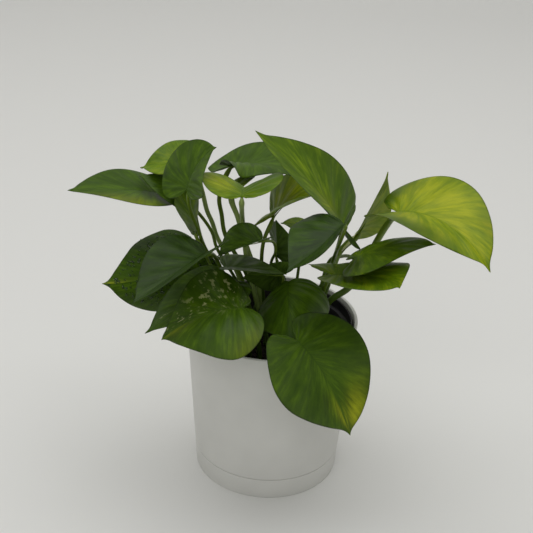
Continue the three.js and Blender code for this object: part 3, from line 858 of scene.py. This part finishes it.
def margin_point(t):
    """A point on the flat margin, by Catmull-Rom through the outline's points."""
    points = np.array(MARGIN)
    ends = np.vstack([2 * points[0] - points[1], points, 2 * points[-1] - points[-2]])
    x = np.clip(t * (len(points) - 1), 0, len(points) - 1 - 1e-9)
    i = x.astype(int)
    w = (x - i)[:, None]
    a, b, c, d = ends[i], ends[i + 1], ends[i + 2], ends[i + 3]
    return 0.5 * (2 * b + (c - a) * w + (2 * a - 5 * b + 4 * c - d) * w ** 2
                  + (3 * b - a - 3 * c + d) * w ** 3)


print("stations on a midrib", len(walk_midrib(LEAVES["front_right"])[0]))

# %% [markdown]
# ## Building the fine blade
# Rows follow the side veins and columns run from margin to margin. The grid is laid
# twice, on top and underneath, and sewn round the edge, so the blade is one closed skin
# about half a millimetre thick. Real relief is added to both: a groove along the midrib
# with a ridge below it, soft swells between the side veins, and a lazy wave of the
# margin.

# %% Fine blade mesh
ROWS = 64
HALF_COLUMNS = 15
# Half the thickness, the groove and the ridge of the midrib, and the swells, in mm.
BLADE_HALF = 0.24
GROOVE = 0.3
RIDGE = 0.5
MIDRIB_REACH = 1.3
SWELL = 0.4
SIDE_VEINS = 8


def spot_field(spots, rib, across):
    """How strongly the given spots colour each point, from 0 to 1."""
    field = np.zeros_like(rib)
    for along, out, size, strength in spots:
        distance = np.hypot((rib - along) * 1.3, (across - out) * 0.6) / size
        field = np.maximum(field, strength * np.exp(-distance ** 2))
    return field


def blade_grid(leaf):
    """Rib and across numbers of the grid, and the flat place of each point."""
    t = np.linspace(0, 1, ROWS + 1)[:-1]
    w = np.linspace(1, -1, 2 * HALF_COLUMNS + 1)
    w = np.sign(w) * np.abs(w) ** 0.9
    edge = margin_point(t)
    edge_share = np.where(edge[:, 0] < 0, edge[:, 0] * leaf["size"][2], edge[:, 0])
    start = t ** RIB_LEAN
    rib, out = np.meshgrid(t, w, indexing="ij")
    share = start[:, None] + (edge_share - start)[:, None] * np.abs(out)
    across = edge[:, 1][:, None] * out
    return rib.ravel(), out.ravel(), share.ravel(), across.ravel()


def relief(rib, out, across_mm, wave, phase):
    """Lift of the surface in mm: vein swells and the wave of the margin."""
    spread = np.abs(out)
    swell = np.cos(2 * math.pi * SIDE_VEINS * rib + 0.9 * np.sign(out))
    swell = swell * SWELL * np.clip(np.abs(across_mm) / 12, 0, 1) * (1 - spread ** 6)
    sway = np.sin(2 * math.pi * (2.1 * rib + phase + 0.35 * np.sign(out)))
    sway = sway * wave * spread ** 3 * np.sin(math.pi * np.clip(rib, 0, 1)) ** 0.5
    return swell + sway


def make_blade(name, leaf, look, number):
    stations = walk_midrib(leaf)
    rib, out, share, across = blade_grid(leaf)
    place, normal = blade_points(leaf, stations, share, across)
    width = leaf["size"][1]
    across_mm = across * width
    lift = relief(rib, out, across_mm, look["wave"], 0.37 * number)
    midrib = np.exp(-(across_mm / MIDRIB_REACH) ** 2) * (1 - rib) ** 0.5
    thin = np.where(np.abs(out) > 0.999, 0.3, 1.0)
    top = place + normal * (lift + BLADE_HALF * thin - GROOVE * midrib)[:, None]
    under = place + normal * (lift - BLADE_HALF * thin - (GROOVE + RIDGE) * midrib)[:, None]
    tip, _ = blade_points(leaf, stations, np.array([TIP]), np.array([0.0]))
    points = np.vstack([top, under, tip]) * MM

    columns = 2 * HALF_COLUMNS + 1
    count = ROWS * columns
    tip_index = 2 * count

    def index(row, column, below=0):
        return row * columns + column + below * count

    faces, backs = [], []
    for row in range(ROWS - 1):
        for c in range(columns - 1):
            faces.append((index(row, c), index(row, c + 1),
                          index(row + 1, c + 1), index(row + 1, c)))
            backs.append((index(row, c, 1), index(row + 1, c, 1),
                          index(row + 1, c + 1, 1), index(row, c + 1, 1)))
    last = ROWS - 1
    for c in range(columns - 1):
        faces.append((index(last, c), index(last, c + 1), tip_index))
        backs.append((index(last, c, 1), tip_index, index(last, c + 1, 1)))
        faces.append((index(0, c), index(0, c, 1), index(0, c + 1, 1), index(0, c + 1)))
    for row in range(ROWS - 1):
        faces.append((index(row, 0), index(row + 1, 0),
                      index(row + 1, 0, 1), index(row, 0, 1)))
        right = columns - 1
        faces.append((index(row, right), index(row, right, 1),
                      index(row + 1, right, 1), index(row + 1, right)))
    faces.append((index(last, 0), tip_index, index(last, 0, 1)))
    faces.append((index(last, columns - 1), index(last, columns - 1, 1), tip_index))

    mesh = bpy.data.meshes.new(name)
    mesh.from_pydata(points.tolist(), [], faces + backs)
    values = {
        "rib": np.concatenate([rib, rib, [1.0]]),
        "across": np.concatenate([out, out, [0.0]]),
        "seed": np.full(len(points), number * 7.31),
    }
    for key in ("yellow", "cream", "green"):
        field = spot_field(look.get(key, []), rib, out)
        values[key] = np.concatenate([field, field, [0.0]])
    for key, data in values.items():
        attribute = mesh.attributes.new(key, "FLOAT", "POINT")
        attribute.data.foreach_set("value", np.asarray(data, np.float32))
    slot = "lime_leaf" if name in LIME_LEAVES else "green_leaf"
    piece = finished_piece("blade_" + name, mesh, leaf_skins[look["tone"]],
                           ["leaf_" + name], smooth_angle=80)
    mesh.materials.append(leaf_backs["lime" if slot == "lime_leaf" else "green"])
    material_index = [0] * len(faces) + [1] * len(backs)
    mesh.polygons.foreach_set("material_index", material_index)
    return piece


blades = {}
for number, (name, leaf) in enumerate(LEAVES.items()):
    blades[name] = make_blade(name, leaf, LOOKS[name], number + 1)
print("blade faces", sum(len(b.data.polygons) for b in blades.values()))

# %% [markdown]
# ## Stalk skin
# A leaf stalk is smooth and fresh green, paler towards the blade, with fine lines along
# it. The sweep that makes it leaves a number called `along` on the mesh, from 0 at the
# soil to 1 at the blade, and the colour reads that.

# %% Two stalk skins
def stalk_material(name, low, middle, high, shade):
    material, tree, shader = start_material(name)
    shader.inputs["Roughness"].default_value = 0.42
    shader.inputs["Specular IOR Level"].default_value = 0.3
    reach = add_node(tree, "ShaderNodeAttribute", attribute_name="along").outputs["Fac"]
    place = add_node(tree, "ShaderNodeTexCoord").outputs["Object"]
    # The fine lines are about 1 mm apart and 15 mm long.
    stretch = add_node(tree, "ShaderNodeMapping", {
        "Vector": place, "Scale": (900, 900, 60)})
    lines = add_node(tree, "ShaderNodeTexNoise", {
        "Vector": stretch.outputs["Vector"], "Scale": 1.0, "Detail": 3.0})
    body = add_node(tree, "ShaderNodeValToRGB", {"Fac": reach},
                    [(0.0, low), (0.4, middle), (0.85, high)])
    faint = add_node(tree, "ShaderNodeMath", {0: lines.outputs["Fac"], 1: 0.5},
                     operation="MULTIPLY")
    skin = add_node(tree, "ShaderNodeMix", {
        "Factor": faint.outputs[0], 6: body.outputs["Color"], 7: colour(shade)},
        data_type="RGBA")
    tree.links.new(skin.outputs[2], shader.inputs["Base Color"])
    bump = add_node(tree, "ShaderNodeBump", {
        "Height": lines.outputs["Fac"], "Strength": 0.3, "Distance": 0.0003})
    tree.links.new(bump.outputs["Normal"], shader.inputs["Normal"])
    return material


green_stalk = stalk_material("smooth_green_stalk", "#2e4408", "#4a6410", "#7c9430",
                             "#38500f")
# Stalks of young leaves are paler.
pale_stalk = stalk_material("pale_young_stalk", "#4a6222", "#90a65a", "#a9bb70", "#5d7a2c")
PALE_STALKS = ("upper_left_lime", "top_small_lime", "top_boat")
print("pale stalks", len(PALE_STALKS))

# %% [markdown]
# ## Sweeping the stalks
# A stalk follows a path, so Geometry Nodes sweep it: the path is a plain curve, and the
# tree gives it a radius, a slightly flattened round section and closed ends. The stalk is
# stouter where it leaves the soil and swells again just below the blade, where a pothos
# leaf has its knee. Three helpers serve every tree here: one starts a tree with its named
# inputs, one ends it, and one runs it and keeps the result as a plain mesh.

# %% Starting, ending and running a tree
def start_tree(name, sockets, result):
    """A geometry tree with named inputs and one output, and its input sockets."""
    tree = bpy.data.node_groups.new(name, "GeometryNodeTree")
    for label, kind in sockets.items():
        tree.interface.new_socket(label, in_out="INPUT", socket_type="NodeSocket" + kind)
    tree.interface.new_socket(result, in_out="OUTPUT", socket_type="NodeSocketGeometry")
    return tree, add_node(tree, "NodeGroupInput").outputs


def end_tree(tree, shape, skin, result):
    """Makes copies real and gives them their material, as the last steps of a tree."""
    real = add_node(tree, "GeometryNodeRealizeInstances", {"Geometry": shape})
    skinned = add_node(tree, "GeometryNodeSetMaterial", {
        "Geometry": real.outputs["Geometry"], "Material": skin})
    add_node(tree, "NodeGroupOutput", {result: skinned.outputs["Geometry"]})
    return tree


def grown_mesh(name, data, tree, **values):
    """Runs a tree on a curve or mesh and returns the result as a plain mesh."""
    holder = bpy.data.objects.new(name, data)
    bpy.context.collection.objects.link(holder)
    modifier = holder.modifiers.new("grow", "NODES")
    modifier.node_group = tree
    for item in tree.interface.items_tree:
        if item.in_out == "INPUT" and item.name in values:
            modifier[item.identifier] = values[item.name]
    evaluated = holder.evaluated_get(bpy.context.evaluated_depsgraph_get())
    mesh = bpy.data.meshes.new_from_object(evaluated)
    bpy.data.objects.remove(holder)
    return mesh


# %% [markdown]
# The sweep itself draws a small circle along the path. The circle's size changes on the
# way, from a curve of a few points that is drawn like the knee of a real stalk.

# %% Stalk sweep tree
STALK_SIDES = 14
KNEE_REACH = 0.040
# Share of the knee's reach from the end, against share of the radius.
KNEE_SHAPE = [(0.0, 0.12), (0.25, 0.3), (0.36, 0.66), (0.5, 0.92), (0.7, 0.8), (1.0, 0.78)]


def stalk_tree():
    tree, inputs = start_tree("stalk_sweep", {
        "Path": "Geometry", "Radius": "Float", "Sides": "Int", "Skin": "Material"}, "Stalk")
    along = add_node(tree, "GeometryNodeSplineParameter").outputs
    # How far the end is, in metres, shapes the knee and the taper under the blade.
    whole = add_node(tree, "GeometryNodeSplineLength").outputs["Length"]
    left_over = add_node(tree, "ShaderNodeMath", {0: whole, 1: along["Length"]},
                         operation="SUBTRACT")
    reach = add_node(tree, "ShaderNodeMapRange", {
        "Value": left_over.outputs[0], "From Max": KNEE_REACH})
    knee = add_node(tree, "ShaderNodeFloatCurve", {"Value": reach.outputs["Result"]})
    curve = knee.mapping.curves[0]
    curve.points[0].location, curve.points[1].location = KNEE_SHAPE[0], KNEE_SHAPE[-1]
    for point in KNEE_SHAPE[1:-1]:
        curve.points.new(*point)
    knee.mapping.update()
    foot = add_node(tree, "ShaderNodeMapRange", {
        "Value": along["Factor"], "From Max": 0.3, "To Min": 1.7, "To Max": 1.25})
    girth = add_node(tree, "ShaderNodeMath", {
        0: knee.outputs[0], 1: foot.outputs["Result"]}, operation="MULTIPLY")
    size = add_node(tree, "ShaderNodeMath", {
        0: inputs["Radius"], 1: girth.outputs[0]}, operation="MULTIPLY")
    named = add_node(tree, "GeometryNodeStoreNamedAttribute", {
        "Geometry": inputs["Path"], "Name": "along", "Value": along["Factor"]},
        data_type="FLOAT", domain="POINT")
    section = add_node(tree, "GeometryNodeCurvePrimitiveCircle", {
        "Resolution": inputs["Sides"], "Radius": 1.0})
    flattened = add_node(tree, "GeometryNodeTransform", {
        "Geometry": section.outputs["Curve"], "Scale": (1.0, 0.88, 1.0)})
    # Curve to Mesh takes the radius on its Scale input, not from the curve itself.
    sweep = add_node(tree, "GeometryNodeCurveToMesh", {
        "Curve": named.outputs["Geometry"], "Profile Curve": flattened.outputs["Geometry"],
        "Scale": size.outputs[0], "Fill Caps": True})
    return end_tree(tree, sweep.outputs["Mesh"], inputs["Skin"], "Stalk")


stalk_sweep = stalk_tree()
print("stalk tree nodes", len(stalk_sweep.nodes))

# %% [markdown]
# ## The stalks' paths
# Each stalk starts under the soil, stands upright through its top, bends through the
# points of the table and ends along the first millimetres of the midrib, so it seems to
# run on into the blade. A smooth curve through the points is sampled here instead of
# using Blender's own curve handles, because the CAD solids follow the same kind of curve.

# %% Stalk paths
SOIL_HEIGHT = 97.6
COLLAR = 4.0
ROOT_DEPTH = 13
CAD_BLADE_HALF = 0.5
PATH_STEP = 3.0


def smooth_path(points):
    """Centripetal Catmull-Rom through the points, sampled about every 3 mm."""
    points = [np.array(p, float) for p in points]
    found = []
    for i in range(len(points) - 1):
        p1, p2 = points[i], points[i + 1]
        p0 = points[i - 1] if i > 0 else 2 * p1 - p2
        p3 = points[i + 2] if i + 2 < len(points) else 2 * p2 - p1
        gaps = [max(np.linalg.norm(b - a), 1e-3) ** 0.5
                for a, b in ((p0, p1), (p1, p2), (p2, p3))]
        d0, d1, d2 = gaps
        leave = ((p1 - p0) / d0 - (p2 - p0) / (d0 + d1) + (p2 - p1) / d1) * d1
        arrive = ((p2 - p1) / d1 - (p3 - p1) / (d1 + d2) + (p3 - p2) / d2) * d1
        steps = max(2, round(np.linalg.norm(p2 - p1) / PATH_STEP))
        for w in np.arange(steps) / steps:
            found.append(p1 + leave * w + (3 * (p2 - p1) - 2 * leave - arrive) * w ** 2
                         + (2 * (p1 - p2) + leave + arrive) * w ** 3)
    return found + [points[-1]]


def stalk_path(leaf):
    """From under the soil, up to the blade, and a little way along its midrib."""
    radius, (x, y), *bends = leaf["stalk"]
    shares, places, _, _, ups = walk_midrib(leaf)
    base = int(np.argmin(np.abs(shares)))
    knee = places[base] - ups[base] * (CAD_BLADE_HALF + radius * 0.7)
    route = [(x, y, SOIL_HEIGHT - ROOT_DEPTH), (x, y, SOIL_HEIGHT + COLLAR),
             (x, y, SOIL_HEIGHT + 2 * COLLAR), *bends, knee]
    length = leaf["size"][0]
    # 5 and 13 mm along the midrib, 1.5 and 0.7 mm under the blade's middle.
    for share, below in ((5 / length, 1.5), (13 / length, 0.7)):
        i = int(np.argmin(np.abs(shares - share)))
        route.append(places[i] - ups[i] * below)
    return smooth_path(route)


def make_stalk(name, leaf):
    path = stalk_path(leaf)
    curve = bpy.data.curves.new("path_" + name, "CURVE")
    curve.dimensions = "3D"
    spline = curve.splines.new("POLY")
    spline.points.add(len(path) - 1)
    for point, place in zip(spline.points, path):
        point.co = (*(place * MM), 1.0)
    skin = pale_stalk if name in PALE_STALKS else green_stalk
    mesh = grown_mesh("path_" + name, curve, stalk_sweep,
                      Radius=leaf["stalk"][0] * MM, Sides=STALK_SIDES, Skin=skin)
    return finished_piece("petiole_" + name, mesh, skin,
                          ["stalk_" + name], smooth_angle=60)


stalks = {name: make_stalk(name, leaf) for name, leaf in LEAVES.items()}
print("stalk faces", sum(len(s.data.polygons) for s in stalks.values()))

# %% [markdown]
# ## Soil
# The potting mix is a plug with a lumpy top. The plug is turned like the pots, and its
# top is moved up and down by a few sines that don't fall in step.

# %% Soil plug
SOIL_GAP = 0.3
SOIL_CROWN = 2
SOIL_RINGS = 24
SOIL_TURN_STEPS = 96


def soil_profile():
    """The plug's outside from its foot to the crown, just clear of the nursery pot."""
    foot = NURSERY_FOOT + SHEET + SOIL_GAP
    share = (SOIL_HEIGHT - NURSERY_FOOT) / (LIP_LOW - NURSERY_FOOT)
    wall = NURSERY_FOOT_RADIUS + (NECK_RADIUS - NURSERY_FOOT_RADIUS) * share
    inner = wall - SHEET - SOIL_GAP
    rings = [(0, foot), (NURSERY_FOOT_RADIUS - SHEET - SOIL_GAP, foot),
             (inner, SOIL_HEIGHT - 0.8)]
    for k in range(1, SOIL_RINGS):
        share = k / SOIL_RINGS
        rise = SOIL_CROWN * math.sin(share * math.pi / 2)
        rings.append((inner * (1 - share), SOIL_HEIGHT + rise))
    return rings + [(0, SOIL_HEIGHT + SOIL_CROWN)]


soil_mesh = turned_mesh("soil", soil_profile(), SOIL_TURN_STEPS)
for vertex in soil_mesh.vertices:
    x, y, z = vertex.co / MM
    if z > SOIL_HEIGHT - 0.5:
        lump = math.sin(x * 0.71 + 1.3 * math.sin(y * 0.33)) * math.sin(y * 0.57 + 0.4)
        vertex.co.z += (0.9 * lump + 0.4 * math.sin(x * 1.9) * math.sin(y * 2.3)) * MM
soil = finished_piece("soil_plug", soil_mesh, peat, ["soil"], 60)
print("soil faces", len(soil.data.polygons))

# %% [markdown]
# ## Crumbs on the soil
# Crumbs of peat and bark lie loose on top. They repeat hundreds of times, so Geometry
# Nodes scatter one squashed ball over the surface at random sizes, with a fixed seed so
# that every run gives the same soil. The drops of water further on use the same tree.

# %% Scatter tree and crumbs
def scatter_tree(name, squash):
    """Scatters small lumps on a surface: count, size and seed are its inputs."""
    tree, inputs = start_tree(name, {
        "Surface": "Geometry", "Density": "Float", "Smallest": "Float",
        "Largest": "Float", "Seed": "Int", "Skin": "Material"}, "Scattered")
    points = add_node(tree, "GeometryNodeDistributePointsOnFaces", {
        "Mesh": inputs["Surface"], "Density": inputs["Density"], "Seed": inputs["Seed"]})
    ball = add_node(tree, "GeometryNodeMeshIcoSphere", {"Radius": 1.0, "Subdivisions": 2})
    flat = add_node(tree, "GeometryNodeTransform", {
        "Geometry": ball.outputs["Mesh"], "Scale": squash})
    size = add_node(tree, "FunctionNodeRandomValue", {
        2: inputs["Smallest"], 3: inputs["Largest"], "Seed": inputs["Seed"]},
        data_type="FLOAT")
    placed = add_node(tree, "GeometryNodeInstanceOnPoints", {
        "Points": points.outputs["Points"], "Instance": flat.outputs["Geometry"],
        "Rotation": points.outputs["Rotation"], "Scale": size.outputs[1]})
    return end_tree(tree, placed.outputs["Instances"], inputs["Skin"], "Scattered")


def patch_of(piece, keep):
    """A copy of a piece's mesh with only the faces to keep."""
    patch = piece.data.copy()
    build = bmesh.new()
    build.from_mesh(patch)
    bmesh.ops.delete(build, geom=[f for f in build.faces if not keep(f)], context="FACES")
    build.to_mesh(patch)
    build.free()
    return patch


def is_soil_top(face):
    return face.normal.z > 0.6 and face.calc_center_median().z > 0.09


crumb_mesh = grown_mesh(
    "crumbs", patch_of(soil, is_soil_top), scatter_tree("soil_crumbs", (1.0, 0.8, 0.6)),
    Density=110000.0, Smallest=0.0006, Largest=0.0022, Seed=4, Skin=peat)
crumbs = finished_piece("soil_crumbs", crumb_mesh, peat, [], 180)
print("crumb faces", len(crumbs.data.polygons))

# %% [markdown]
# ## Water drops
# One leaf on the left still carries drops from the last watering. They are the same
# scatter on the upper face of that leaf, with flat lens-shaped lumps and clear water.

# %% Drops on the wet leaf
water, tree, shader = start_material("water_tinted_for_painted_highlight")
# Water is smooth and bends light a little less than glass. Its pale green tint, with a tenth of it
# not clear, makes the drops read as lighter beads: a painted highlight.
shader.inputs["Base Color"].default_value = colour("#86a070")
shader.inputs["Roughness"].default_value = 0.06
shader.inputs["IOR"].default_value = 1.333
shader.inputs["Transmission Weight"].default_value = 0.9
STRIPS = 2 * HALF_COLUMNS


def holds_drops(face):
    """True on the upper face of a blade, away from its margin."""
    return face.material_index == 0 and 2 <= face.index % STRIPS < STRIPS - 2


drop_mesh = grown_mesh(
    "drops", patch_of(blades["left_wet"], holds_drops),
    scatter_tree("water_drops", (1.0, 1.0, 0.42)),
    Density=90000.0, Smallest=0.0004, Largest=0.0013, Seed=11, Skin=water)
drops = finished_piece("water_drops", drop_mesh, water, [], 180)
print("drop faces", len(drops.data.polygons))
